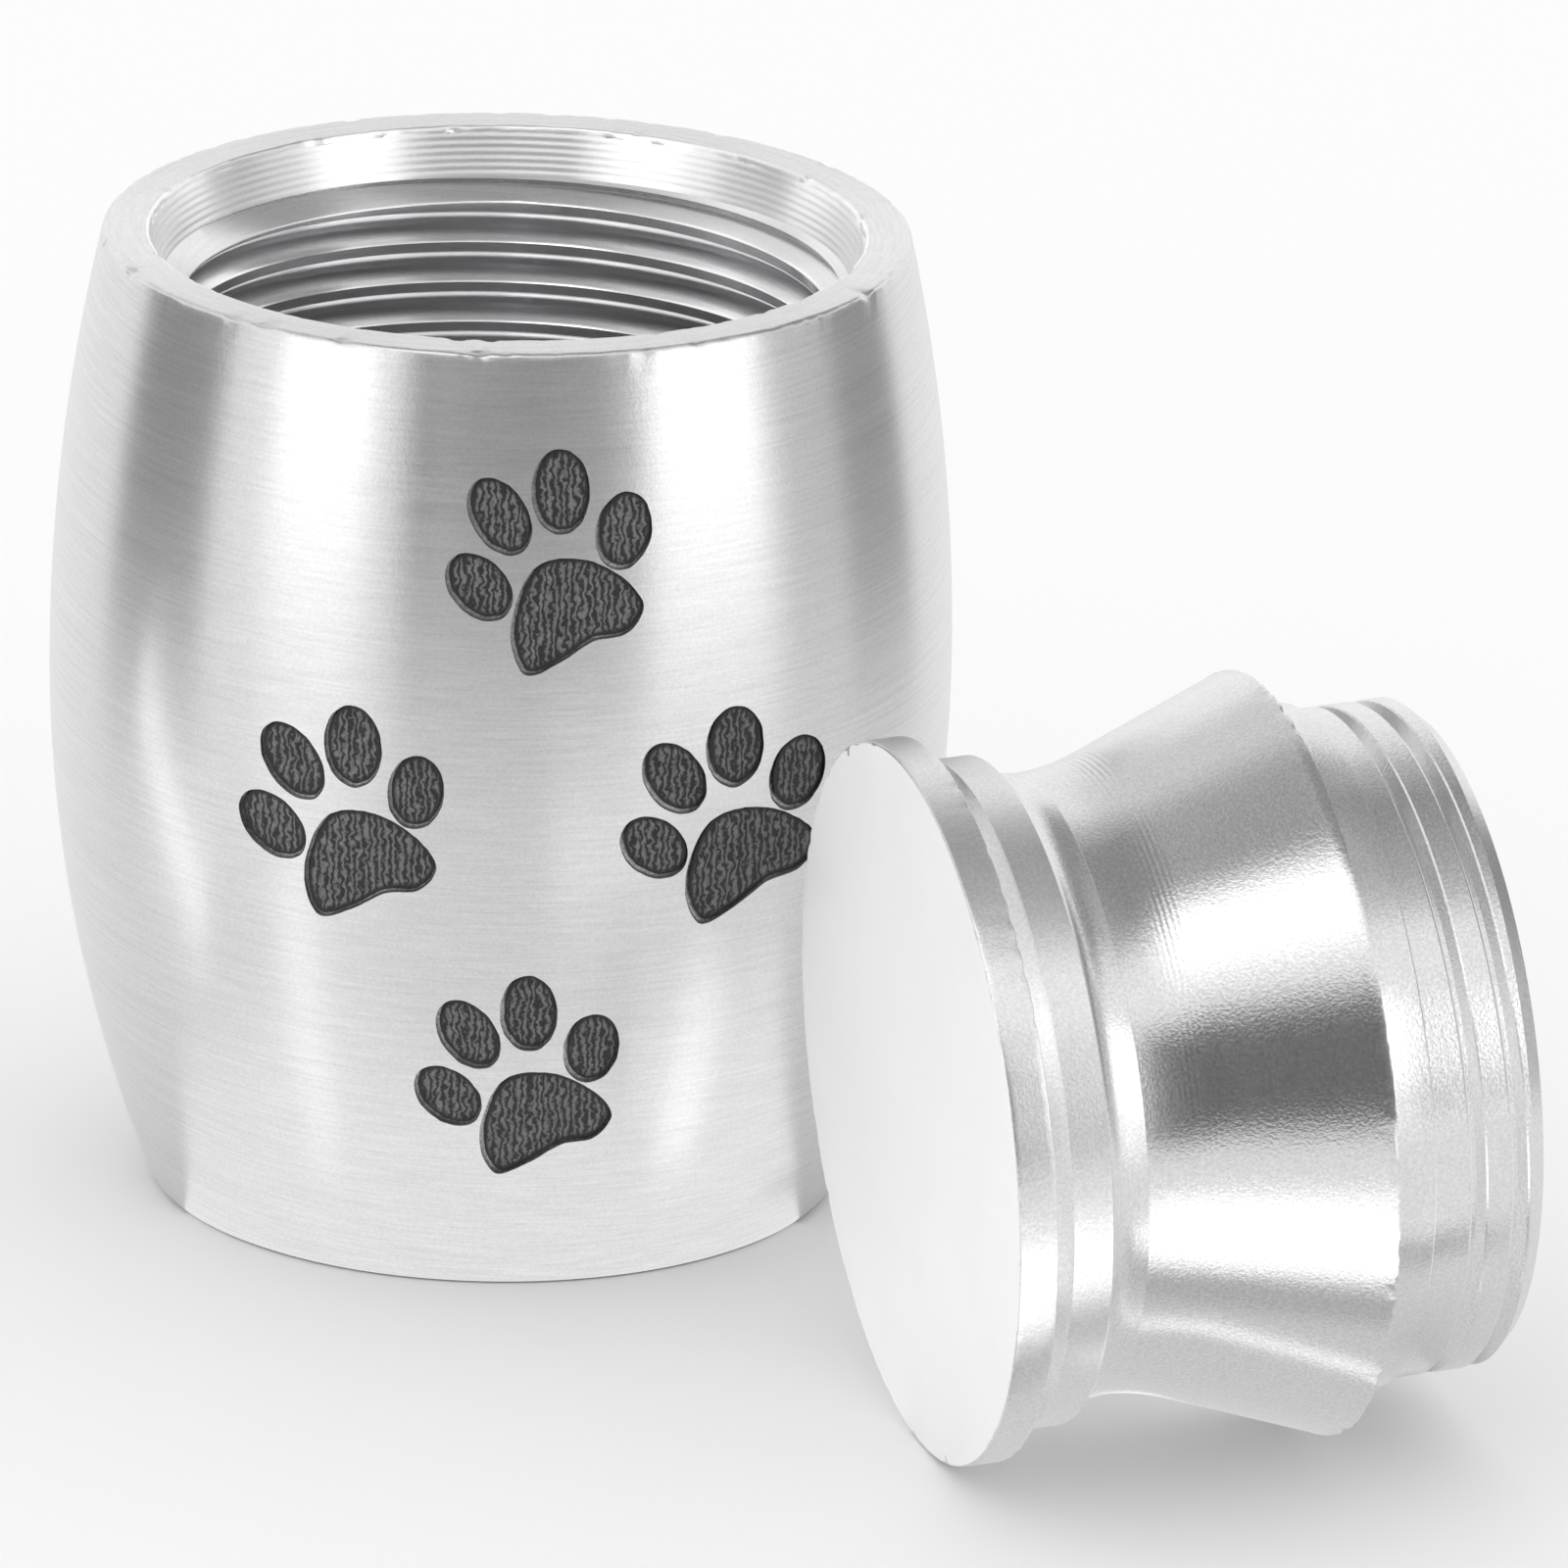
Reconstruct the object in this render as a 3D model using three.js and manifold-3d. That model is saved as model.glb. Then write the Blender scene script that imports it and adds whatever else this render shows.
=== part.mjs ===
// Keepsake urn: a barrel-shaped turned aluminium jar with an internal thread,
// its screw lid lying beside it, and four engraved paw prints filled black.
// Millimetres, +Z up, origin at the centre of the jar's base. -Y is the front.
import * as THREE from 'three';
import { mergeVertices } from 'three/addons/utils/BufferGeometryUtils.js';
import Module from 'manifold-3d';

const wasm = await Module();
wasm.setup();

// ---- driving dimensions ----------------------------------------------------
const FACETS = 40;             // flats round every turned surface

const JAR_HEIGHT = 32.9;
const BASE_RADIUS = 11.45;
const BELLY_RADIUS = 15.0;
const BELLY_HEIGHT = 18.3;
const RIM_RADIUS = 13.36;
const BASE_EDGE = 0.5;         // rounding of the jar's foot
const RIM_EDGE = 0.15;         // edge break round the rim
const MOUTH_RADIUS = 11.85;    // the mouth narrows slightly to the depth of the lid's land
const MOUTH_END_RADIUS = 11.35;
const MOUTH_DEPTH = 1.65;
const BORE_RADIUS = 10.65;     // crest of the internal thread, below a 45 degree lead-in
const CAVITY_FLOOR = 3.2;
const CAVITY_CORNER = 0.8;

const PITCH = 1.4;
const FLANK = Math.tan(Math.PI / 6);
const JAR_THREAD = { depth: 0.7, flat: 0.15 };   // flat: width at the root of the groove
const JAR_THREAD_LENGTH = 7.6;
const LID_THREAD = { depth: 0.5, flat: 0.25 };   // flat: width at the crest

const TOP_RADIUS = 11.8;       // flat disc on top of the lid
const TOP_THICKNESS = 1.3;
const TOP_EDGE = 0.12;
const NECK_GROOVE_RADIUS = 10.3;
const RING_START = 2.1;
const RING_END = 3.4;
const RING_RADIUS = 10.9;
const WAIST_START = 4.8;
const WAIST_END = 6.0;
const WAIST_RADIUS = 10.15;
const SKIRT_RADIUS = 12.5;
const SKIRT_END = 12.5;        // distance from the top face to the seating face
const LAND_RADIUS = 11.2;
const LAND_END = 14.15;
const RELIEF_RADIUS = 10.2;
const RELIEF_END = 14.7;
const PLUG_RADIUS = 10.45;     // root of the lid's thread
const PLUG_END = 18.0;
const PLUG_CHAMFER = 0.45;

const LID_TOP_CENTRE = [13.38, -25.92];  // plan position of the top face's centre
const LID_HEADING = THREE.MathUtils.degToRad(16.5);

const PRINT_DEPTH = 0.25;      // engraving below the barrel's surface
const FILL_TOP = 0.12;         // the black fill lies this far below the surface
const FILL_GAP = 0.01;         // between the fill and the floor of the engraving
const FILL_SCALE = 0.985;      // fill outline against the engraved outline

const ALUMINIUM = { color: 0xd6d7d8, roughness: 0.32, metalness: 1.0 };
const BLACK_FILL = { color: 0x2f2f30, roughness: 0.8, metalness: 0.0 };

// ---- solids ----------------------------------------------------------------
function solid(geometry) {
  const g = geometry.clone();
  g.deleteAttribute('normal');
  g.deleteAttribute('uv');
  const merged = mergeVertices(g, 1e-4);
  const position = merged.attributes.position;
  const triangles = [];
  let volume = 0;
  const [a, b, c] = [new THREE.Vector3(), new THREE.Vector3(), new THREE.Vector3()];
  for (let i = 0; i < merged.index.count; i += 3) {
    const corner = [0, 1, 2].map((k) => merged.index.getX(i + k));
    if (new Set(corner).size < 3) continue;
    triangles.push(...corner);
    a.fromBufferAttribute(position, corner[0]);
    b.fromBufferAttribute(position, corner[1]);
    c.fromBufferAttribute(position, corner[2]);
    volume += a.dot(b.cross(c));
  }
  if (volume < 0) triangles.reverse();
  return new wasm.Manifold(new wasm.Mesh({
    numProp: 3,
    vertProperties: new Float32Array(position.array),
    triVerts: new Uint32Array(triangles),
  }));
}

// A turned solid: [radius, height] points revolved about Z.
function turned(profile) {
  const points = profile.map(([r, z]) => new THREE.Vector2(r, z));
  return solid(new THREE.LatheGeometry(points, FACETS).rotateX(Math.PI / 2));
}

class Helix extends THREE.Curve {
  constructor(radius, start, turns) {
    super();
    Object.assign(this, { radius, start, turns });
  }

  getPoint(t, target = new THREE.Vector3()) {
    const angle = 2 * Math.PI * this.turns * t;
    return target.set(
      this.radius * Math.cos(angle),
      this.radius * Math.sin(angle),
      this.start + PITCH * this.turns * t,
    );
  }

  // The section stays upright, its first axis pointing away from the Z axis.
  computeFrenetFrames(segments) {
    const frames = { tangents: [], normals: [], binormals: [] };
    for (let i = 0; i <= segments; i += 1) {
      const angle = (2 * Math.PI * this.turns * i) / segments;
      frames.tangents.push(new THREE.Vector3(-Math.sin(angle), Math.cos(angle), 0));
      frames.normals.push(new THREE.Vector3(Math.cos(angle), Math.sin(angle), 0));
      frames.binormals.push(new THREE.Vector3(0, 0, -1));
    }
    return frames;
  }
}

// One thread tooth swept along a helix; its root side reaches `under` below `radius`.
function threadTooth({ depth, flat }, radius, start, turns, under) {
  const tip = flat / 2;
  const foot = tip + (depth + under) * FLANK;
  const section = new THREE.Shape([
    new THREE.Vector2(-under, -foot),
    new THREE.Vector2(depth, -tip),
    new THREE.Vector2(depth, tip),
    new THREE.Vector2(-under, foot),
  ]);
  return solid(new THREE.ExtrudeGeometry(section, {
    steps: Math.round(turns * FACETS),
    extrudePath: new Helix(radius, start, turns),
  }));
}

// ---- the jar's barrel outline: two arcs that meet at the belly --------------
function barrelRadius(z) {
  const end = z < BELLY_HEIGHT ? [BASE_RADIUS, 0] : [RIM_RADIUS, JAR_HEIGHT];
  const drop = BELLY_RADIUS - end[0];
  const run = BELLY_HEIGHT - end[1];
  const arc = (drop * drop + run * run) / (2 * drop);
  return BELLY_RADIUS - arc + Math.sqrt(arc * arc - (z - BELLY_HEIGHT) ** 2);
}

function barrelPoints(from, to, count, inset) {
  return Array.from({ length: count + 1 }, (_, i) => {
    const z = from + ((to - from) * i) / count;
    return [barrelRadius(z) - inset, z];
  });
}

const barrelSide = (inset) => [
  ...barrelPoints(BASE_EDGE, BELLY_HEIGHT, 6, inset),
  ...barrelPoints(BELLY_HEIGHT, JAR_HEIGHT - RIM_EDGE, 5, inset).slice(1),
];

// ---- paw print, drawn flat and engraved straight in from the front ----------
// Toes: [x, z, half width, half length, lean]. The lean is towards -X.
const TOES = {
  outer_left: [-2.8, -0.58, 0.93, 1.28, 0.78],
  inner_left: [-2.17, 1.75, 0.92, 1.38, 0.56],
  inner_right: [-0.2, 2.55, 0.95, 1.4, 0.06],
  outer_right: [1.87, 1.18, 0.92, 1.28, -0.12],
};
const PAD_OUTLINE = [
  [-1.2, -3.5], [-1.72, -2.5], [-1.55, -0.95], [-0.85, 0.18], [0.55, 0.33],
  [1.95, -0.42], [2.58, -1.38], [2.05, -2.2], [0.95, -2.42], [-0.15, -3.1],
];
const PRINTS = {
  upper: [2.06, 25.9],
  left: [-4.57, 17.1],
  right: [7.9, 16.85],
  lower: [1.3, 8.0],
};

function toeOutline([x, z, width, length, lean]) {
  const curve = new THREE.EllipseCurve(x, z, width, length, 0, 2 * Math.PI, false, lean);
  return { centre: [x, z], points: curve.getPoints(14).slice(0, -1) };
}

function padOutline() {
  const knots = PAD_OUTLINE.map(([x, z]) => new THREE.Vector3(x, z, 0));
  const curve = new THREE.CatmullRomCurve3(knots, true, 'centripetal');
  const points = curve.getPoints(20).slice(0, -1);
  return { centre: [0.3, -1.4], points };
}

// A prism through the front wall, with the outline scaled about its centre.
function printPrism(outline, [x, z], scale) {
  const [cx, cz] = outline.centre;
  const shape = new THREE.Shape(outline.points.map((p) => new THREE.Vector2(
    x + cx + (p.x - cx) * scale,
    z + cz + (p.y - cz) * scale,
  )));
  const geometry = new THREE.ExtrudeGeometry(shape, { depth: 10, bevelEnabled: false });
  return solid(geometry.rotateX(Math.PI / 2).translate(0, -7, 0));
}

// ---- jar -------------------------------------------------------------------
const mouthFloor = JAR_HEIGHT - MOUTH_DEPTH;
const leadIn = MOUTH_END_RADIUS - BORE_RADIUS;
let jar = turned([
  [0, 0],
  [BASE_RADIUS - BASE_EDGE, 0],
  [barrelRadius(BASE_EDGE) - 0.3 * BASE_EDGE, 0.3 * BASE_EDGE],
  ...barrelSide(0),
  [RIM_RADIUS - RIM_EDGE, JAR_HEIGHT],
  [MOUTH_RADIUS, JAR_HEIGHT],
  [MOUTH_END_RADIUS, mouthFloor],
  [BORE_RADIUS, mouthFloor - leadIn],
  [BORE_RADIUS, CAVITY_FLOOR + CAVITY_CORNER],
  [BORE_RADIUS - CAVITY_CORNER, CAVITY_FLOOR],
  [0, CAVITY_FLOOR],
]);
const jarTurns = JAR_THREAD_LENGTH / PITCH;
jar = jar.subtract(
  threadTooth(
    JAR_THREAD, BORE_RADIUS, mouthFloor + PITCH / 2 - JAR_THREAD_LENGTH, jarTurns, 0.3,
  ),
);

const engravedCore = turned([
  [0, BASE_EDGE], ...barrelSide(PRINT_DEPTH), [0, JAR_HEIGHT - RIM_EDGE],
]);
const fillShell = turned([
  ...barrelSide(FILL_TOP),
  ...barrelSide(PRINT_DEPTH - FILL_GAP).reverse(),
  barrelSide(FILL_TOP)[0],
]);

const outlines = { pad: padOutline() };
for (const [name, toe] of Object.entries(TOES)) outlines[`toe_${name}`] = toeOutline(toe);

const fills = {};
for (const [print, place] of Object.entries(PRINTS)) {
  for (const [name, outline] of Object.entries(outlines)) {
    jar = jar.subtract(printPrism(outline, place, 1).subtract(engravedCore));
    fills[`print_${print}_${name}`] = printPrism(outline, place, FILL_SCALE).intersect(fillShell);
  }
}

// ---- lid, built standing on its top face with the plug upwards ---------------
let lid = turned([
  [0, 0],
  [TOP_RADIUS - TOP_EDGE, 0],
  [TOP_RADIUS, TOP_EDGE],
  [TOP_RADIUS, TOP_THICKNESS],
  [NECK_GROOVE_RADIUS, TOP_THICKNESS + 0.1],
  [NECK_GROOVE_RADIUS, RING_START - 0.1],
  [RING_RADIUS, RING_START],
  [RING_RADIUS, RING_END],
  [RING_RADIUS - 0.5, RING_END + 0.35],
  [WAIST_RADIUS, WAIST_START],
  [WAIST_RADIUS, WAIST_END],
  [SKIRT_RADIUS, SKIRT_END - 0.1],
  [SKIRT_RADIUS, SKIRT_END],
  [LAND_RADIUS, SKIRT_END],
  [LAND_RADIUS, LAND_END],
  [RELIEF_RADIUS, LAND_END],
  [RELIEF_RADIUS, RELIEF_END],
  [PLUG_RADIUS, RELIEF_END],
  [PLUG_RADIUS, PLUG_END - PLUG_CHAMFER],
  [PLUG_RADIUS - PLUG_CHAMFER, PLUG_END],
  [0, PLUG_END],
]);
const plugTurns = (PLUG_END - RELIEF_END + 0.4) / PITCH;
const tooth = threadTooth(LID_THREAD, PLUG_RADIUS, RELIEF_END - 0.2, plugTurns, 0.2);
const crest = PLUG_RADIUS + LID_THREAD.depth + 0.1;
const plugEnvelope = turned([
  [0, RELIEF_END],
  [crest - 0.5, RELIEF_END],
  [crest, RELIEF_END + 0.4],
  [crest, PLUG_END - 2 * PLUG_CHAMFER],
  [crest - 2 * PLUG_CHAMFER, PLUG_END],
  [0, PLUG_END],
]);
lid = lid.add(tooth.intersect(plugEnvelope));

// ---- scene graph -----------------------------------------------------------
function mesh(name, manifold, finish) {
  const { vertProperties, triVerts } = manifold.getMesh();
  const geometry = new THREE.BufferGeometry();
  geometry.setAttribute('position', new THREE.BufferAttribute(vertProperties, 3));
  geometry.setIndex(new THREE.BufferAttribute(triVerts, 1));
  geometry.computeVertexNormals();
  const result = new THREE.Mesh(geometry, new THREE.MeshStandardMaterial(finish));
  result.name = name;
  return result;
}

const urn = new THREE.Group();
urn.add(mesh('jar', jar, ALUMINIUM));
for (const [name, fill] of Object.entries(fills)) urn.add(mesh(name, fill, BLACK_FILL));

// The lid lies on the edges of its disc and its skirt, so its axis rises slightly
// towards the plug.
const rise = Math.atan2(SKIRT_RADIUS - TOP_RADIUS, SKIRT_END - TOP_EDGE);
const lying = new THREE.Group();
lying.rotation.y = Math.PI / 2 - rise;
lying.add(mesh('lid', lid, ALUMINIUM));
const lidPlace = new THREE.Group();
lidPlace.position.set(
  ...LID_TOP_CENTRE,
  TOP_RADIUS * Math.cos(rise) - TOP_EDGE * Math.sin(rise),
);
lidPlace.rotation.z = LID_HEADING;
lidPlace.add(lying);
urn.add(lidPlace);

export default urn;
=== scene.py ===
"""Keepsake urn: a turned aluminium jar with engraved black paw prints, its screw lid beside it.

The solids are worked out in millimetres and brought to metres once when they are finished.
"""
import math

import bmesh
import bpy
from mathutils import Matrix, Vector, noise
from mathutils.kdtree import KDTree


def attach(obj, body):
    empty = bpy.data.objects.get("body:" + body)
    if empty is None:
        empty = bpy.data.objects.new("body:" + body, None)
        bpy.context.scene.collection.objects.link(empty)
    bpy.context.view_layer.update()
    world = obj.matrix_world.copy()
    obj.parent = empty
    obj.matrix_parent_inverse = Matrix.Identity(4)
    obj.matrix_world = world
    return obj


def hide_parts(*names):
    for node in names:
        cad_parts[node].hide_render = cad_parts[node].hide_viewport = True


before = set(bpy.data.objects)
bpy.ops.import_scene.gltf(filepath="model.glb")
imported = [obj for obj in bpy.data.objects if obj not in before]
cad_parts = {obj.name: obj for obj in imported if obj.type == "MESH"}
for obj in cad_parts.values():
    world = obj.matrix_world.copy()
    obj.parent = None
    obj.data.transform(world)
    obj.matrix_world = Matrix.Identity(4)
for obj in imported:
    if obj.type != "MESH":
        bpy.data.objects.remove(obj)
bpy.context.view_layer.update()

# ---- camera ------------------------------------------------------------------------------------
# A long lens on a stand in front of the jar, looking down on it at about nineteen degrees.
CAMERA_DISTANCE = 700.0
CAMERA_RISE = 0.3281822          # radians above the table
CAMERA_TURN = 0.01435098         # radians to the right of straight ahead
CAMERA_DIP = 0.00168091          # radians below the line to the aim
CAMERA_ROLL = 0.02050192
AIM_HEIGHT = 15.0
LENS = 482.46

camera = bpy.data.objects.new("camera", bpy.data.cameras.new("camera"))
bpy.context.scene.collection.objects.link(camera)
camera.data.sensor_width = 36.0
camera.data.lens = LENS
camera.data.clip_start = 0.01
dip = CAMERA_RISE + CAMERA_DIP
ahead = Vector((math.sin(CAMERA_TURN) * math.cos(dip), math.cos(CAMERA_TURN) * math.cos(dip),
                -math.sin(dip)))
level = ahead.cross(Vector((0, 0, 1))).normalized()
above = level.cross(ahead)
camera_right = level * math.cos(CAMERA_ROLL) + above * math.sin(CAMERA_ROLL)
camera_up = above * math.cos(CAMERA_ROLL) - level * math.sin(CAMERA_ROLL)
place = Vector((0, -CAMERA_DISTANCE * math.cos(CAMERA_RISE),
                AIM_HEIGHT + CAMERA_DISTANCE * math.sin(CAMERA_RISE))) * 0.001
camera.matrix_world = (Matrix.Translation(place)
                       @ Matrix((camera_right, camera_up, -ahead)).transposed().to_4x4())
bpy.context.scene.camera = camera
bpy.context.scene.view_settings.view_transform = "Standard"

# ---- jar ---------------------------------------------------------------------------------------
# One piece of aluminium bar. It is turned to a barrel, its mouth is bored to a slight taper, a
# lead-in and a thread are cut below that, and its front is engraved with four prints.
MM = 0.001
JAR_HEIGHT = 32.9
BASE_RADIUS = 11.45
BELLY_RADIUS = 15.0
BELLY_HEIGHT = 18.3
RIM_RADIUS = 13.36
MOUTH_RADIUS = 11.85
MOUTH_END_RADIUS = 11.35
MOUTH_DEPTH = 1.65
BORE_RADIUS = 10.65
CAVITY_FLOOR = 3.2
THREAD_PITCH = 1.4
JAR_THREAD_DEPTH = 0.7
JAR_THREAD_LENGTH = 7.6
ROUND_STEPS = 360        # flats round a turned surface
SECTORS = 12             # the turned surface is spun for one sector and then repeated
PRINT_DEPTH = 0.25       # depth of the engraving below the barrel
NICK_REACH = 0.22        # how far from an edge handling has dented it


def barrel_radius(z):
    """The barrel's outline: two arcs that meet at the belly."""
    end_radius, end_height = (BASE_RADIUS, 0.0) if z < BELLY_HEIGHT else (RIM_RADIUS, JAR_HEIGHT)
    drop, run = BELLY_RADIUS - end_radius, BELLY_HEIGHT - end_height
    arc = (drop * drop + run * run) / (2 * drop)
    return BELLY_RADIUS - arc + math.sqrt(arc * arc - (z - BELLY_HEIGHT) ** 2)


def repeated(bm, count, step):
    """Repeats what is in bm count times, each time moved on by step, and joins it up."""
    first = bm.verts[:] + bm.edges[:] + bm.faces[:]
    place = step.copy()
    for _ in range(count - 1):
        copy = bmesh.ops.duplicate(bm, geom=first)["geom"]
        bmesh.ops.transform(bm, matrix=place,
                            verts=[v for v in copy if isinstance(v, bmesh.types.BMVert)])
        place = step @ place
    bmesh.ops.remove_doubles(bm, verts=bm.verts[:], dist=1e-4)


def turned(points, rounded=()):
    """A solid turned about Z from [radius, height] points; rounded is [index, edge radius]."""
    bm = bmesh.new()
    verts = [bm.verts.new((radius, 0.0, z)) for radius, z in points]
    for a, b in zip(verts, verts[1:]):
        bm.edges.new((a, b))
    for index, radius in rounded:
        bmesh.ops.bevel(bm, geom=[verts[index]], offset=radius, offset_type="OFFSET", segments=4,
                        profile=0.5, affect="VERTICES", material=-1)
    bmesh.ops.spin(bm, geom=bm.verts[:] + bm.edges[:], cent=(0, 0, 0), axis=(0, 0, 1),
                   dvec=(0, 0, 0), angle=2 * math.pi / SECTORS, steps=ROUND_STEPS // SECTORS,
                   use_merge=False, use_duplicate=False)
    repeated(bm, SECTORS, Matrix.Rotation(2 * math.pi / SECTORS, 4, "Z"))
    bmesh.ops.recalc_face_normals(bm, faces=bm.faces[:])
    return bm


def battered(bm, radius, height, inward, depth, seed):
    """Knocks small nicks into a turned edge, as handling leaves them.

    A few larger knocks come from the broad noise, a roughness from the small one.
    """
    for vert in bm.verts:
        round_radius = math.hypot(vert.co.x, vert.co.y)
        away = math.hypot(round_radius - radius, vert.co.z - height)
        if away < NICK_REACH:
            knock = noise.noise(vert.co * 1.9 + Vector((seed, 0, 0)))
            small = noise.noise(vert.co * 5.0 + Vector((0, seed, 0)))
            cut = depth * (max(0.0, knock - 0.22) * 1.4 + 0.35 * max(0.0, small))
            vert.co.x += vert.co.x / round_radius * inward[0] * cut
            vert.co.y += vert.co.y / round_radius * inward[0] * cut
            vert.co.z += inward[1] * cut


def threaded(outline, bottom, top):
    """A threaded rod: one pitch of outline swept up a right-hand helix, cut flat at each end."""
    bm = bmesh.new()
    start = bottom - 2 * THREAD_PITCH
    verts = [bm.verts.new((radius, 0.0, start + z)) for radius, z in outline]
    for a, b in zip(verts, verts[1:]):
        bm.edges.new((a, b))
    steps = ROUND_STEPS // 2
    bmesh.ops.spin(bm, geom=bm.verts[:] + bm.edges[:], cent=(0, 0, 0), axis=(0, 0, 1),
                   dvec=(0, 0, THREAD_PITCH / steps), angle=2 * math.pi, steps=steps,
                   use_merge=False, use_duplicate=False)
    repeated(bm, math.ceil((top - start) / THREAD_PITCH) + 2,
             Matrix.Translation((0, 0, THREAD_PITCH)))
    for height, above_cut in ((bottom, False), (top, True)):
        bmesh.ops.bisect_plane(bm, geom=bm.verts[:] + bm.edges[:] + bm.faces[:], dist=1e-6,
                               plane_co=(0, 0, height), plane_no=(0, 0, 1),
                               clear_outer=above_cut, clear_inner=not above_cut)
    bmesh.ops.holes_fill(bm, edges=[e for e in bm.edges if e.is_boundary], sides=0)
    bmesh.ops.recalc_face_normals(bm, faces=bm.faces[:])
    return bm


def added(name, bm):
    """A new object from a bmesh."""
    obj = bpy.data.objects.new(name, bpy.data.meshes.new(name))
    bm.to_mesh(obj.data)
    bm.free()
    bpy.context.scene.collection.objects.link(obj)
    return obj


def combined(body, tool, operation):
    """Cuts, joins or intersects two closed solids."""
    modifier = body.modifiers.new("solid", "BOOLEAN")
    modifier.operation = operation
    modifier.solver = "MANIFOLD"
    modifier.object = tool
    shaped = bpy.data.meshes.new_from_object(
        body.evaluated_get(bpy.context.evaluated_depsgraph_get()))
    body.modifiers.clear()
    body.data = shaped


def settled(obj, corner, place=Matrix()):
    """Brings a solid to metres and to its place; edges sharper than corner degrees stay crisp."""
    bm = bmesh.new()
    bm.from_mesh(obj.data)
    bmesh.ops.dissolve_degenerate(bm, dist=1e-5, edges=bm.edges[:])
    bmesh.ops.transform(bm, matrix=place, verts=bm.verts[:])
    bmesh.ops.scale(bm, vec=(MM, MM, MM), verts=bm.verts[:])
    for face in bm.faces:
        face.smooth = True
        face.material_index = 0
    for edge in bm.edges:
        edge.smooth = edge.is_manifold and edge.calc_face_angle(0.0) < math.radians(corner)
    bm.to_mesh(obj.data)
    bm.free()
    obj.data.materials.clear()


# Toes: [x, z, half width, half length, lean towards -X]. The pad is a loop of knots.
TOES = {
    "outer_left": (-2.8, -0.58, 0.93, 1.28, 0.78),
    "inner_left": (-2.17, 1.75, 0.92, 1.38, 0.56),
    "inner_right": (-0.2, 2.55, 0.95, 1.4, 0.06),
    "outer_right": (1.87, 1.18, 0.92, 1.28, -0.12),
}
PAD = [(-1.2, -3.5), (-1.72, -2.5), (-1.55, -0.95), (-0.85, 0.18), (0.55, 0.33),
       (1.95, -0.42), (2.58, -1.38), (2.05, -2.2), (0.95, -2.42), (-0.15, -3.1)]
TOE_STEPS = 48
PAD_STEPS = 8            # between two knots
PRINTS = {"upper": (2.06, 25.9), "left": (-4.57, 17.1), "right": (7.9, 16.85),
          "lower": (1.3, 8.0)}


def knotted(knots, pieces):
    """A closed smooth loop through knots: a centripetal Catmull-Rom curve."""
    loop = []
    for i in range(len(knots)):
        p = [Vector(knots[(i + k) % len(knots)]) for k in range(-1, 3)]
        t = [0.0]
        for a, b in zip(p, p[1:]):
            t.append(t[-1] + math.sqrt((b - a).length))
        for step in range(pieces):
            s = t[1] + (t[2] - t[1]) * step / pieces
            a = [p[k].lerp(p[k + 1], (s - t[k]) / (t[k + 1] - t[k])) for k in range(3)]
            b = [a[k].lerp(a[k + 1], (s - t[k]) / (t[k + 2] - t[k])) for k in range(2)]
            loop.append(b[0].lerp(b[1], (s - t[1]) / (t[2] - t[1])))
    return loop


def outlines():
    """The five outlines of a print, about its own centre."""
    shapes = {"pad": knotted(PAD, PAD_STEPS)}
    for name, (x, z, width, length, lean) in TOES.items():
        lean_x, lean_z = math.cos(lean), math.sin(lean)
        shapes["toe_" + name] = [
            Vector((x + width * math.cos(a) * lean_x - length * math.sin(a) * lean_z,
                    z + width * math.cos(a) * lean_z + length * math.sin(a) * lean_x))
            for a in (2 * math.pi * k / TOE_STEPS for k in range(TOE_STEPS))]
    return shapes


PRISM_FRONT = -17.0      # in front of the barrel, where a prism starts
PRISM_LENGTH = 8.0


def print_prisms(centre, shrink, ragged):
    """Prisms of one print's five outlines, straight through the front wall."""
    bm = bmesh.new()
    for outline in outlines().values():
        middle = sum(outline, Vector((0, 0))) / len(outline)
        verts = []
        for point in outline:
            out = (point - middle).normalized()
            wave = ragged * noise.noise(Vector((point.x * 3.1, point.y * 3.1, centre[1])))
            p = point - out * (shrink - wave)
            verts.append(bm.verts.new((centre[0] + p.x, PRISM_FRONT, centre[1] + p.y)))
        face = bm.faces.new(verts)
        deep = bmesh.ops.extrude_face_region(bm, geom=[face])["geom"]
        bmesh.ops.translate(bm, vec=(0, PRISM_LENGTH, 0),
                            verts=[v for v in deep if isinstance(v, bmesh.types.BMVert)])
    bmesh.ops.recalc_face_normals(bm, faces=bm.faces[:])
    return bm


CORE_START, CORE_LENGTH, CORE_ROWS = 0.6, 31.9, 60


def barrel_core(inset):
    """The barrel's outline drawn in by inset, closed to the axis."""
    heights = [CORE_START + i * CORE_LENGTH / CORE_ROWS for i in range(CORE_ROWS + 1)]
    return turned([(0.0, heights[0])] + [(barrel_radius(z) - inset, z) for z in heights]
                  + [(0.0, heights[-1])])


BARREL_ROWS = 40
LOWEST_ROW = 0.55        # above the rounded foot
TOP_GAP = 0.3            # the highest row stays this far below the rim
TURNING_PITCH = 0.24     # feed of the boring tool, which leaves fine rings in the mouth
TURNING_DEPTH = 0.005
FIRST_RING = 0.14        # below the rim's rounded edge
RING_MARGIN = 0.2        # of the mouth's depth is left without rings
mouth_floor = JAR_HEIGHT - MOUTH_DEPTH
barrel_heights = [LOWEST_ROW + i * (JAR_HEIGHT - LOWEST_ROW - TOP_GAP) / BARREL_ROWS
                  for i in range(BARREL_ROWS + 1)]
outside = [(barrel_radius(z), z) for z in [0.0] + barrel_heights + [JAR_HEIGHT]]
rows = int(MOUTH_DEPTH / TURNING_PITCH * 6)
rings = []
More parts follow.
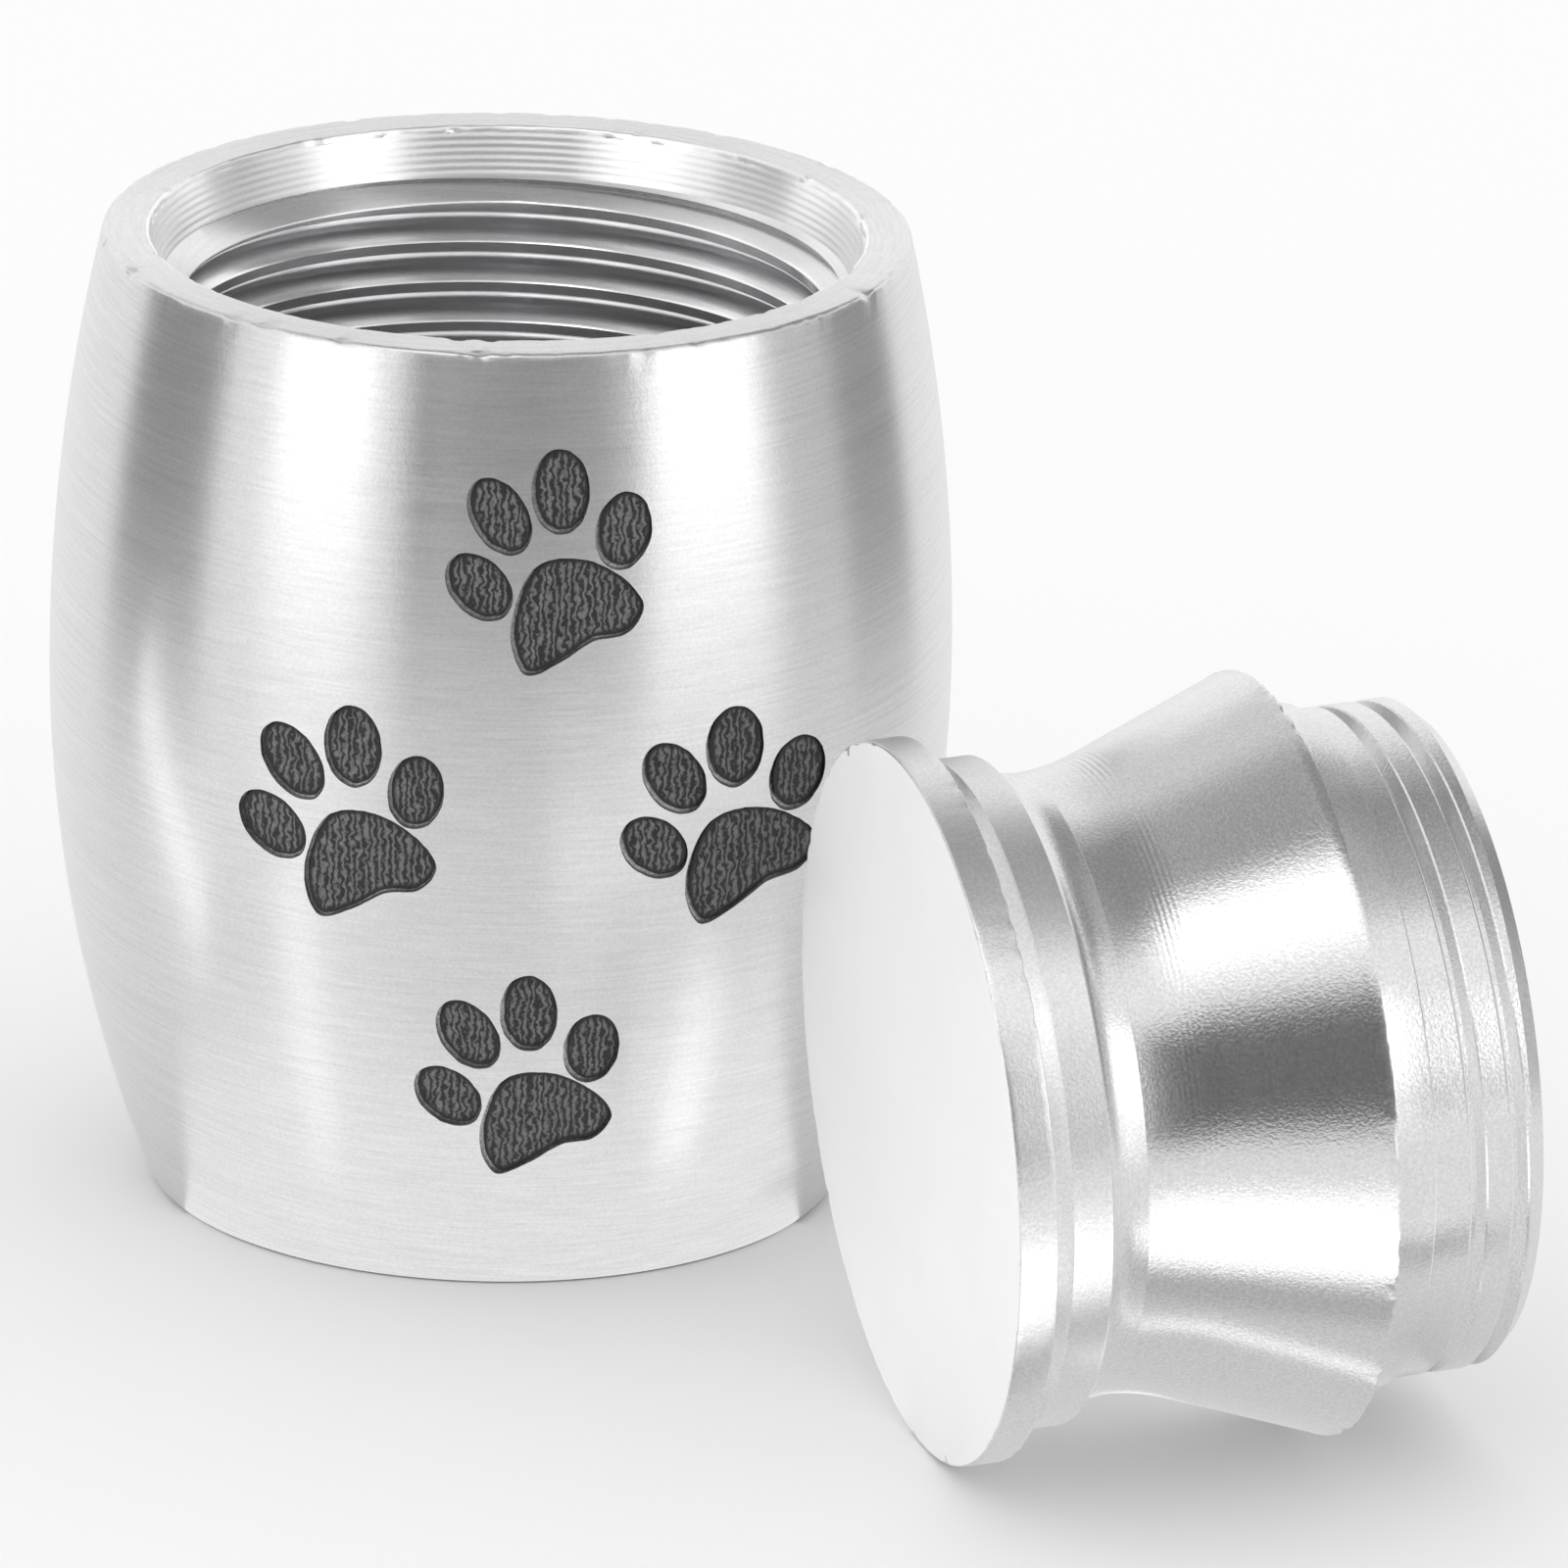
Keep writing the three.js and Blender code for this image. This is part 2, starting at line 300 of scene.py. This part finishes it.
for row in range(1, rows):
    down = FIRST_RING + (MOUTH_DEPTH - RING_MARGIN) * row / rows
    taper = (MOUTH_RADIUS - MOUTH_END_RADIUS) * down / MOUTH_DEPTH
    ripple = TURNING_DEPTH * math.cos(2 * math.pi * down / TURNING_PITCH)
    rings.append((MOUTH_RADIUS - taper + ripple, JAR_HEIGHT - down))
rim = [(RIM_RADIUS - 0.3, JAR_HEIGHT), (MOUTH_RADIUS + 0.3, JAR_HEIGHT)]
inside = [(MOUTH_END_RADIUS, mouth_floor),
          (BORE_RADIUS, mouth_floor - (MOUTH_END_RADIUS - BORE_RADIUS)),
          (BORE_RADIUS, CAVITY_FLOOR), (0.0, CAVITY_FLOOR)]
profile = [(0.0, 0.0)] + outside + rim + [(MOUTH_RADIUS, JAR_HEIGHT)] + rings + inside
# The edges of the foot, the rim, the mouth, the lead-in and the cavity's floor.
barrel = turned(profile, rounded=((1, 0.45), (len(outside), 0.14), (len(outside) + 3, 0.08),
                                  (len(profile) - 3, 0.05), (len(profile) - 2, 0.8)))
battered(barrel, RIM_RADIUS, JAR_HEIGHT, (-1, -1), 0.09, 1.0)
battered(barrel, MOUTH_RADIUS, JAR_HEIGHT, (1, -1), 0.09, 5.0)
jar = added("jar_body", barrel)
# The tap's outline over one pitch: the groove's root, then its crest just inside the bore.
thread_root = BORE_RADIUS + JAR_THREAD_DEPTH
tap = added("tap", threaded(
    [(thread_root, 0.0), (thread_root, 0.15), (BORE_RADIUS + 0.06, 0.53),
     (BORE_RADIUS - 0.06, 0.7), (BORE_RADIUS - 0.06, THREAD_PITCH - 0.55),
     (BORE_RADIUS + 0.06, THREAD_PITCH - 0.38), (thread_root, THREAD_PITCH)],
    bottom=mouth_floor - JAR_THREAD_LENGTH, top=mouth_floor + 0.1))
combined(jar, tap, "DIFFERENCE")
bpy.data.objects.remove(tap)
core = added("core", barrel_core(PRINT_DEPTH))
for print_name, centre in PRINTS.items():
    pocket = added("pocket", print_prisms(centre, shrink=0.0, ragged=0.03))
    combined(pocket, core, "DIFFERENCE")
    combined(jar, pocket, "DIFFERENCE")
    bpy.data.objects.remove(pocket)
bpy.data.objects.remove(core)
settled(jar, 25)
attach(jar, "jar")
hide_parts("jar")


def linear(code):
    """An sRGB hex colour as the linear values that shaders take."""
    channels = [int(code[i:i + 2], 16) / 255 for i in (0, 2, 4)]
    return [c / 12.92 if c <= 0.04045 else ((c + 0.055) / 1.055) ** 2.4 for c in channels] + [1.0]


def node(material, kind, inputs=(), **settings):
    """Adds a node with its settings; an input is a value or another node's output socket."""
    tree = material.node_tree
    made = tree.nodes.new(kind)
    for key, value in settings.items():
        setattr(made, key, value)
    for key, value in dict(inputs).items():
        if isinstance(value, bpy.types.NodeSocket):
            tree.links.new(value, made.inputs[key])
        else:
            made.inputs[key].default_value = value
    return made


def turned_aluminium(name, centre, axis, tones, roughness, streaks, blasted, speckled,
                     drawn=0.75):
    """Turned aluminium: bright bare metal whose fine tool rings draw each reflection out along
    the profile, with streaks that run round the axis and a faint blasted grain.

    Noise scales are per metre. The tool rings come every 0.11 mm and the grain every 0.1 mm,
    about twice as coarse as the real ones, so that they show; the streaks are 0.9 mm apart.
    """
    material = bpy.data.materials.new(name)
    material.use_nodes = True
    material.node_tree.nodes.clear()
    object_at = node(material, "ShaderNodeTexCoord").outputs["Object"]
    arm = node(material, "ShaderNodeVectorMath", {0: object_at, 1: centre},
               operation="SUBTRACT").outputs["Vector"]
    around = node(material, "ShaderNodeVectorMath", {0: axis, 1: arm},
                  operation="CROSS_PRODUCT").outputs["Vector"]
    normal = node(material, "ShaderNodeNewGeometry").outputs["Normal"]
    along = node(material, "ShaderNodeVectorTransform", {0: around}, vector_type="VECTOR",
                 convert_from="OBJECT", convert_to="WORLD").outputs[0]
    tangent = node(material, "ShaderNodeVectorMath", {0: along, 1: normal},
                   operation="CROSS_PRODUCT").outputs["Vector"]
    # radius and height about the axis: rings are level in these two
    height = node(material, "ShaderNodeVectorMath", {0: arm, 1: axis},
                  operation="DOT_PRODUCT").outputs["Value"]
    radius = node(material, "ShaderNodeVectorMath", {0: around},
                  operation="LENGTH").outputs["Value"]
    turn = node(material, "ShaderNodeVectorMath", {0: around},
                operation="NORMALIZE").outputs["Vector"]
    rings = node(material, "ShaderNodeCombineXYZ",
                 {"X": height, "Y": radius, "Z": 0.0}).outputs[0]
    # a ring changes slowly on its way round
    swept = node(material, "ShaderNodeVectorMath", {0: turn, 1: (0.0006, 0.0006, 0.0006)},
                 operation="MULTIPLY").outputs["Vector"]
    ring_place = node(material, "ShaderNodeVectorMath", {0: rings, 1: swept},
                      operation="ADD").outputs["Vector"]
    fine = node(material, "ShaderNodeTexNoise", {"Vector": ring_place, "Scale": 9000.0,
                                                 "Detail": 2.0, "Roughness": 0.6}).outputs[0]
    broad = node(material, "ShaderNodeTexNoise", {"Vector": ring_place, "Scale": 1100.0,
                                                  "Detail": 3.0, "Roughness": 0.6}).outputs[0]
    grain = node(material, "ShaderNodeTexNoise", {"Vector": object_at, "Scale": 9500.0,
                                                  "Detail": 3.0, "Roughness": 0.6}).outputs[0]
    mottle = node(material, "ShaderNodeMix", {0: speckled, 2: fine, 3: grain},
                  data_type="FLOAT").outputs[0]
    contrast = node(material, "ShaderNodeMapRange", {0: mottle, 1: 0.35, 2: 0.65}).outputs[0]
    gloss = node(material, "ShaderNodeMapRange",
                 {0: broad, 3: roughness * 0.85, 4: roughness * 1.15}).outputs[0]
    shade = node(material, "ShaderNodeMix", {
        0: contrast, 6: linear(tones[0]), 7: linear(tones[1])}, data_type="RGBA").outputs[2]
    ring_bump = node(material, "ShaderNodeBump",
                     {"Strength": streaks, "Distance": 0.00002, "Height": fine}).outputs[0]
    grain_bump = node(material, "ShaderNodeBump", {
        "Strength": blasted, "Distance": 0.00003, "Height": grain, "Normal": ring_bump}).outputs[0]
    metal = node(material, "ShaderNodeBsdfPrincipled", {
        "Base Color": shade, "Metallic": 1.0, "Roughness": gloss, "Anisotropic": drawn,
        "Tangent": tangent, "Normal": grain_bump}).outputs[0]
    node(material, "ShaderNodeOutputMaterial", {"Surface": metal})
    return material


FOOT = (0.0, 0.0, 0.0)
UPRIGHT = (0.0, 0.0, 1.0)
# The outside: long soft reflections under level streaks.
jar.data.materials.append(turned_aluminium(
    "turned_aluminium", FOOT, UPRIGHT, ("d2d2d3", "e4e4e4"), roughness=0.3,
    streaks=0.08, blasted=0.12, speckled=0.5))
# The mouth: a lighter copy of the jar's aluminium, painted light that brightens the shaded hollow
# of the mouth, so it is the brightest face.
jar.data.materials.append(turned_aluminium(
    "bored_aluminium", FOOT, UPRIGHT, ("f2f2f3", "fafafa"), roughness=0.3,
    streaks=0.06, blasted=0.1, speckled=0.5))
# The thread and the bore: smoother, with crisp dark and light bands. Their colour is painted
# lighter than the outside, as painted light in the shaded bore.
jar.data.materials.append(turned_aluminium(
    "tapped_aluminium", FOOT, UPRIGHT, ("f0f0f1", "f8f8f9"), roughness=0.2,
    streaks=0.06, blasted=0.04, speckled=0.5))
# The lead-in: cut in one plunge, so it has no feed rings and shines evenly all round. Its colour
# is painted lighter than the outside, as painted light in the hollow, but a shade darker than the
# mouth's, as painted shade on this band.
jar.data.materials.append(turned_aluminium(
    "chamfered_aluminium", FOOT, UPRIGHT, ("e4e4e5", "f0f0f1"), roughness=0.28,
    streaks=0.06, blasted=0.04, speckled=0.5, drawn=0.0))
# The engraved pockets: burnt grey and dull, a soft ledge round the black fill.
jar.data.materials.append(turned_aluminium(
    "laser_burnt_aluminium", FOOT, UPRIGHT, ("98989a", "cfcfd0"), roughness=0.5,
    streaks=0.02, blasted=0.4, speckled=0.9, drawn=0.0))
MOUTH, THREAD, LEAD_IN, POCKET = range(1, 5)
INSIDE_RADIUS = 11.93    # every inside face is nearer to the axis than this
PRINTS_LOWEST, PRINTS_HIGHEST = 3.0, 30.0
POCKET_LIP = 0.012       # a pocket's faces lie deeper than this below the barrel
LEAD_IN_DEPTH = 0.75     # below the mouth
for polygon in jar.data.polygons:
    x, y, z = polygon.center / MM
    if math.hypot(x, y) < INSIDE_RADIUS and z > CAVITY_FLOOR - 0.2:
        if z > mouth_floor - 0.01:
            polygon.material_index = MOUTH
        elif z > mouth_floor - LEAD_IN_DEPTH and polygon.normal.z > 0.3:
            polygon.material_index = LEAD_IN
        else:
            polygon.material_index = THREAD
    elif (y < 0 and PRINTS_LOWEST < z < PRINTS_HIGHEST
          and math.hypot(x, y) < barrel_radius(z) - POCKET_LIP):
        polygon.material_index = POCKET

# ---- prints ------------------------------------------------------------------------------------
# Each paw print is engraved by laser and filled with matte black lacquer, which lies below the
# surface and keeps the laser's upright hatch.
FILL_TOP = 0.12          # the fill's mean surface, below the barrel
FILL_GAP = 0.01
HATCH_PITCH = 0.17
HATCH_PATCH = 4.4        # half the side of the sheet that roughens one print
SEAT_SHIFT = (0.05, 0.04)  # the fill sits against the upper right of its pocket
# The fill's darker rim is partly burnt lacquer at the laser's edge and partly painted shade from
# the pocket's wall.
DARK_RIM = 0.27          # how far in from its outline the fill is darkest
# Black lacquer: dull, sooty ground under wavering upright lines of grey. The lines are drawn at
# 0.23 mm, a third wider than the laser's own hatch, so that they show.
lacquer = bpy.data.materials.new("engraved_black_lacquer")
lacquer.use_nodes = True
lacquer.node_tree.nodes.clear()
object_at = node(lacquer, "ShaderNodeTexCoord").outputs["Object"]
clots = node(lacquer, "ShaderNodeTexNoise", {"Vector": object_at, "Scale": 3600.0,
                                             "Detail": 2.0, "Roughness": 0.55}).outputs[0]
hatch = node(lacquer, "ShaderNodeTexWave", {
    "Vector": object_at, "Scale": 1350.0, "Distortion": 8.0, "Detail": 2.0,
    "Detail Scale": 1.9, "Detail Roughness": 0.65}, bands_direction="X").outputs["Fac"]
soot = node(lacquer, "ShaderNodeMix", {0: 0.45, 2: clots, 3: hatch}).outputs[0]
tone = node(lacquer, "ShaderNodeMapRange", {0: soot, 1: 0.36, 2: 0.8}).outputs[0]
tone_colour = node(lacquer, "ShaderNodeMix", {0: tone, 6: linear("1e1e1f"), 7: linear("747475")},
                   data_type="RGBA").outputs[2]
# Towards its outline the fill is mixed to near-black: partly burnt lacquer along the laser's edge,
# partly painted shade where the pocket's wall shades the fill.
edge = node(lacquer, "ShaderNodeAttribute", attribute_name="edge").outputs["Fac"]
colour = node(lacquer, "ShaderNodeMix", {0: edge, 6: tone_colour, 7: linear("1c1c1d")},
              data_type="RGBA").outputs[2]
soot_bump = node(lacquer, "ShaderNodeBump",
                 {"Strength": 0.6, "Distance": 0.00004, "Height": soot}).outputs[0]
shell = node(lacquer, "ShaderNodeBsdfPrincipled", {
    "Base Color": colour, "Roughness": 0.62, "Normal": soot_bump}).outputs[0]
node(lacquer, "ShaderNodeOutputMaterial", {"Surface": shell})


def hatched(centre):
    """A block in front of a print whose back is the fill's rough upper surface.

    Its roughness is the laser's hatch, with streaks along the hatch and small clots over it.
    """
    bm = bmesh.new()
    bmesh.ops.create_grid(bm, x_segments=150, y_segments=110, size=HATCH_PATCH)
    bmesh.ops.rotate(bm, cent=(0, 0, 0), matrix=Matrix.Rotation(math.radians(90), 3, "X"),
                     verts=bm.verts[:])
    bmesh.ops.translate(bm, vec=(centre[0], 0, centre[1]), verts=bm.verts[:])
    for vert in bm.verts:
        x, _, z = vert.co
        waver = 0.03 * noise.noise(vert.co * 1.5)
        rough = (0.014 * math.cos(2 * math.pi * (x + waver) / HATCH_PITCH)
                 + 0.03 * noise.noise(Vector((x * 7.0, z * 2.6, 3.0)))
                 + 0.018 * noise.noise(Vector((x * 11.0, z * 11.0, 9.0))))
        radius = barrel_radius(z) - FILL_TOP + min(max(rough, -0.05), 0.05)
        vert.co.y = -math.sqrt(radius * radius - x * x)
    front = bmesh.ops.extrude_face_region(bm, geom=bm.faces[:])["geom"]
    for vert in front:
        if isinstance(vert, bmesh.types.BMVert):
            vert.co.y = PRISM_FRONT - 1.0
    bmesh.ops.recalc_face_normals(bm, faces=bm.faces[:])
    return bm


core = added("core", barrel_core(PRINT_DEPTH - FILL_GAP))
for print_name, centre in PRINTS.items():
    seat = (centre[0] + SEAT_SHIFT[0], centre[1] + SEAT_SHIFT[1])
    fill = added("paw_print_" + print_name, print_prisms(seat, shrink=0.085, ragged=0.05))
    combined(fill, core, "DIFFERENCE")
    front = added("front", hatched(centre))
    combined(fill, front, "DIFFERENCE")
    bpy.data.objects.remove(front)
    edge_points = [p for outline in outlines().values() for p in outline]
    nearest = KDTree(len(edge_points))
    for index, point in enumerate(edge_points):
        nearest.insert((point.x + seat[0], 0.0, point.y + seat[1]), index)
    nearest.balance()
    # How near each vertex lies to the outline, for the darker rim: partly burnt edge, partly
    # painted shade.
    burnt_and_shaded_rim = fill.data.attributes.new("edge", "FLOAT", "POINT")
    for vert, slot in zip(fill.data.vertices, burnt_and_shaded_rim.data):
        away = nearest.find((vert.co.x, 0.0, vert.co.z))[2]
        slot.value = max(0.0, min(1.0, (DARK_RIM - away) / 0.1))
    settled(fill, 60)
    fill.data.materials.append(lacquer)
    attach(fill, "jar")
    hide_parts(*[f"print_{print_name}_{shape}" for shape in outlines()])
bpy.data.objects.remove(core)

# ---- lid ---------------------------------------------------------------------------------------
# Turned from the same bar: a flat disc, a slit and a ring, a waist that flares to a skirt, a
# smooth land and a threaded plug. It lies on the edges of its disc and its skirt.
TOP_RADIUS = 11.8
SKIRT_RADIUS = 12.5
SKIRT_END = 12.5
LAND_RADIUS = 11.2
LAND_END = 14.1
CREST_RADIUS = 10.95
LID_THREAD_DEPTH = 0.5
PLUG_START = 14.22
PLUG_JOINT = 15.1        # where the threaded end is joined to the turned part
PLUG_END = 18.0
LID_CENTRE = (13.38, -25.92)
LID_HEADING = math.radians(16.5)
FACE_EDGE = 0.12
CONE_SLOPE = math.radians(20.7)
CONE_END = 12.36         # where the cone meets the skirt's edge
WAIST_RADIUS = 10.12
WAIST_MIDDLE = 4.86
WAIST_BEND = 7.0         # radius of the curve from the waist into the cone
WAIST_FEED = 0.18        # feed of the finishing tool in the waist
FEED_START, FEED_LENGTH, FEED_ROWS = 5.95, 1.5, 60
FEED_DEPTH = 0.0026
CONE_ROWS = 20
waist = [(10.9, 3.4), (10.72, 3.46), (10.5, 3.66), (10.33, 3.95), (10.2, 4.35), (10.13, 4.85)]
for i in range(13):
    angle = CONE_SLOPE * i / 12
    waist.append((WAIST_RADIUS + WAIST_BEND * (1 - math.cos(angle)),
                  WAIST_MIDDLE + WAIST_BEND * math.sin(angle)))
cone_start = waist[-1]
cone_reach = CONE_END - cone_start[1]
cone_end = (cone_start[0] + cone_reach * math.tan(CONE_SLOPE), CONE_END)
feed_rings = []
for i in range(FEED_ROWS):
    z = FEED_START + i * FEED_LENGTH / FEED_ROWS
    base = next(a[0] + (b[0] - a[0]) * (z - a[1]) / (b[1] - a[1])
                for a, b in zip(waist, waist[1:] + [cone_end]) if a[1] <= z <= b[1])
    fade = math.sin(math.pi * i / FEED_ROWS)
    feed_rings.append((base + FEED_DEPTH * fade * math.cos(2 * math.pi * z / WAIST_FEED), z))
waist = [p for p in waist if p[1] < FEED_START] + feed_rings
plain_cone = 7.5
waist += [(cone_start[0] + (z - cone_start[1]) * math.tan(CONE_SLOPE), z)
          for z in (plain_cone + i * (CONE_END - plain_cone) / CONE_ROWS
                    for i in range(CONE_ROWS))]
lid_profile = ([(0.0, 0.0), (6.0, 0.0), (11.5, 0.0), (TOP_RADIUS, 0.0), (TOP_RADIUS, 0.24),
                (TOP_RADIUS, 1.06), (TOP_RADIUS, 1.3), (11.5, 1.31), (10.35, 1.36),
                (10.35, 1.52), (10.78, 2.02), (10.9, 2.1)] + waist
               + [(SKIRT_RADIUS, 12.4), (SKIRT_RADIUS, SKIRT_END), (LAND_RADIUS, SKIRT_END),
                  (LAND_RADIUS, LAND_END), (10.82, LAND_END + 0.04), (10.82, PLUG_START - 0.02),
                  (CREST_RADIUS, PLUG_START), (CREST_RADIUS, PLUG_JOINT), (0.0, PLUG_JOINT)])
blank = turned(lid_profile, rounded=((3, 0.09), (6, 0.06), (len(lid_profile) - 7, 0.05)))
battered(blank, TOP_RADIUS, 0.0, (-1, 1), 0.05, 2.0)
battered(blank, TOP_RADIUS, 1.3, (-1, -1), 0.08, 7.0)
battered(blank, SKIRT_RADIUS, 12.45, (-1, -1), 0.1, 9.0)
lid = added("lid_body", blank)
plug_root = CREST_RADIUS - LID_THREAD_DEPTH
plug = added("plug", threaded(
    [(CREST_RADIUS, 0.0), (CREST_RADIUS, 0.78), (CREST_RADIUS - 0.05, 0.84), (plug_root, 1.02),
     (plug_root, 1.16), (CREST_RADIUS - 0.05, 1.34), (CREST_RADIUS, THREAD_PITCH)],
    bottom=14.9, top=PLUG_END))
envelope = added("envelope", turned(
    [(0.0, 14.0), (CREST_RADIUS + 0.2, 14.0), (CREST_RADIUS + 0.2, PLUG_END - 0.75),
     (CREST_RADIUS - 0.45, PLUG_END - 0.02), (0.0, PLUG_END - 0.02)]))
combined(plug, envelope, "INTERSECT")
combined(lid, plug, "UNION")
bpy.data.objects.remove(envelope)
bpy.data.objects.remove(plug)
rise = math.atan2(SKIRT_RADIUS - TOP_RADIUS, SKIRT_END - FACE_EDGE)
lid_place = (Matrix.Translation((LID_CENTRE[0], LID_CENTRE[1],
                                 TOP_RADIUS * math.cos(rise) - FACE_EDGE * math.sin(rise)))
             @ Matrix.Rotation(LID_HEADING, 4, "Z")
             @ Matrix.Rotation(math.pi / 2 - rise, 4, "Y"))
settled(lid, 25, lid_place)
lid_axis = tuple((lid_place.to_3x3() @ Vector((0, 0, 1))).normalized())
lid_middle = tuple(lid_place.translation * MM)
# The waist, skirt and plug: polished under a faint grain, so that reflections are short.
lid.data.materials.append(turned_aluminium(
    "turned_aluminium_lid", lid_middle, lid_axis, ("d2d2d3", "e4e4e4"), roughness=0.21,
    streaks=0.02, blasted=0.3, speckled=0.9))

# The top face: blasted to a fine matt white, which takes no reflection, only soft light.
satin = bpy.data.materials.new("satin_blasted_aluminium")
satin.use_nodes = True
satin.node_tree.nodes.clear()
object_at = node(satin, "ShaderNodeTexCoord").outputs["Object"]
grit = node(satin, "ShaderNodeTexNoise", {"Vector": object_at, "Scale": 6000.0, "Detail": 3.0,
                                          "Roughness": 0.65}).outputs[0]
cloud = node(satin, "ShaderNodeTexNoise", {"Vector": object_at, "Scale": 260.0, "Detail": 2.0,
                                           "Roughness": 0.5}).outputs[0]
satin_colour = node(satin, "ShaderNodeMix", {0: cloud, 6: linear("f5f5f6"), 7: linear("fcfcfc")},
                    data_type="RGBA").outputs[2]
satin_bump = node(satin, "ShaderNodeBump",
                  {"Strength": 0.2, "Distance": 0.00002, "Height": grit}).outputs[0]
satin_metal = node(satin, "ShaderNodeBsdfPrincipled", {
    "Base Color": satin_colour, "Metallic": 0.3, "Roughness": 0.6,
    "Normal": satin_bump}).outputs[0]
node(satin, "ShaderNodeOutputMaterial", {"Surface": satin_metal})
lid.data.materials.append(satin)
# The disc's rim and the ring behind it: duller than the waist, so that light rolls over them.
lid.data.materials.append(turned_aluminium(
    "turned_aluminium_rim", lid_middle, lid_axis, ("dadadb", "ececec"), roughness=0.36,
    streaks=0.02, blasted=0.3, speckled=0.9))
FACE, RIM = range(1, 3)
RING_END = 3.4
to_plug = Vector(lid_axis)
for polygon in lid.data.polygons:
    along = (polygon.center - Vector(lid_middle)).dot(to_plug)
    if polygon.normal.dot(to_plug) < -0.95 and along < 0.01 * MM:
        polygon.material_index = FACE
    elif along < RING_END * MM:
        polygon.material_index = RIM
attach(lid, "lid")
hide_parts("lid")

# ---- studio ------------------------------------------------------------------------------------
# A pale table and soft light from all round. The cards stand where only the metal sees them.
# Card corners are in millimetres, bearings in degrees from straight in front.
table = bmesh.new()
bmesh.ops.create_grid(table, x_segments=1, y_segments=1, size=2.0)
bmesh.ops.translate(table, vec=(0, 0, -0.00002), verts=table.verts[:])
floor = added("table", table)
# Plain matt paper: no pattern, so that only the soft contact shadows mark the ground.
pale = bpy.data.materials.new("pale_paper")
pale.use_nodes = True
pale.node_tree.nodes.clear()
paper = node(pale, "ShaderNodeBsdfDiffuse", {"Color": linear("f4f4f4")}).outputs[0]
node(pale, "ShaderNodeOutputMaterial", {"Surface": paper})
floor.data.materials.append(pale)

world = bpy.data.worlds.new("studio")
bpy.context.scene.world = world
world.use_nodes = True
world.node_tree.nodes["Background"].inputs["Color"].default_value = (1, 1, 1, 1)
world.node_tree.nodes["Background"].inputs["Strength"].default_value = 1.08


def card(name, corners, glow):
    """A reflection card: a flat sheet that only shows in the metal."""
    bm = bmesh.new()
    bm.faces.new([bm.verts.new(Vector(corner) * MM) for corner in corners])
    obj = added(name, bm)
    sheet = bpy.data.materials.new(name)
    sheet.use_nodes = True
    sheet.node_tree.nodes.clear()
    light = node(sheet, "ShaderNodeEmission",
                 {"Color": (1.0, 1.0, 1.0, 1.0), "Strength": glow}).outputs[0]
    node(sheet, "ShaderNodeOutputMaterial", {"Surface": light})
    obj.data.materials.append(sheet)
    for kind in ("camera", "diffuse", "shadow", "transmission", "volume_scatter"):
        setattr(obj, "visible_" + kind, False)


def standing(name, start, end, distance, low, high, glow):
    """A card that stands upright round the jar, between two bearings from the front."""
    ends = [(distance * math.sin(math.radians(a)), -distance * math.cos(math.radians(a)))
            for a in (start, end)]
    card(name, [(*ends[0], low), (*ends[1], low), (*ends[1], high), (*ends[0], high)], glow)


standing("back_left", -175, -118, 240, 150, 328, 0.8)
standing("back_right", 82, 165, 240, 150, 328, 0.3)
standing("card_left", -110, -76, 95, 0, 60, 0.26)
standing("strip_left_low", -60, -34, 130, 0, 25, 1.3)
standing("strip_left", -60, -34, 130, 25, 70, 2.1)
standing("flag_left", -25, -16, 155, 0, 100, 0.04)
standing("front_left", -15, 0, 160, 0, 100, 0.17)
standing("front_middle", 0, 14, 160, 0, 100, 0.15)
standing("front_right", 14, 27, 160, 0, 100, 0.2)
standing("front_edge", 27, 35, 160, 0, 100, 0.4)
standing("strip_right_low", 37, 68, 130, 0, 25, 1.35)
standing("strip_right", 37, 68, 130, 25, 70, 2.1)
standing("card_right", 72, 92, 105, 0, 60, 0.62)
standing("flag_right", 92, 120, 92, 0, 60, 0.32)
card("streak_left", [(-8.2, -14.6, 0.05), (-9.8, -13.4, 0.05), (-40, -31, 0.05),
                     (-35, -38, 0.05)], 1.3)
card("foot_right", [(7.5, -15.5, 0.05), (11, -21, 0.05), (14.6, -25.6, 0.05),
                    (24.8, -22.2, 0.05), (32, -14, 0.05), (13, -5, 0.05)], 1.12)
card("streak_right", [(8.6, -14.2, 0.06), (10.6, -12.8, 0.06), (25.5, -19, 0.06),
                      (21, -23.4, 0.06)], 1.5)
card("glint_left", [(-25.4, -5.9, 17.5), (-25.4, -6.7, 17.5), (-23.2, -12.4, 5),
                    (-22.6, -11.6, 5)], 3.5)
card("foot_front", [(-20, -23, 0.04), (8, -23, 0.04), (12, -5, 0.04), (-20, -5, 0.04)], 1.08)
card("under_lid", [(17, -34.5, 0.04), (31, -34.5, 0.04), (31, -22, 0.04), (25, -22.2, 0.04),
                   (14.6, -25.6, 0.04)], 0.76)
card("glow_lid", [(10, -39.5, 0.06), (36, -39.5, 0.06), (36, -58, 0.06), (10, -58, 0.06)], 1.6)
card("shade_lid", [(8, -39.5, 0.06), (38, -39.5, 0.06), (38, -35.5, 0.06), (8, -35.5, 0.06)], 0.55)
card("line_lid", [(21, -34, 0.06), (29.5, -31.6, 0.06), (29.5, -31, 0.06), (21, -33.2, 0.06)], 1.6)
card("box_lid", [(-169, -134, 225), (-5, -248, 225), (8, -152, 294), (-83, -88, 294)], 1.9)
card("overhead", [(-110, -130, 328), (110, -130, 328), (110, 130, 328), (-110, 130, 328)], 0.3)
card("ceiling", [(-220, -165, 330), (220, -165, 330), (220, 220, 330), (-220, 220, 330)], 0.62)
# The jar's metal doesn't mirror the lid, so its right side reflects clean floor and cards.
lid.visible_glossy = False
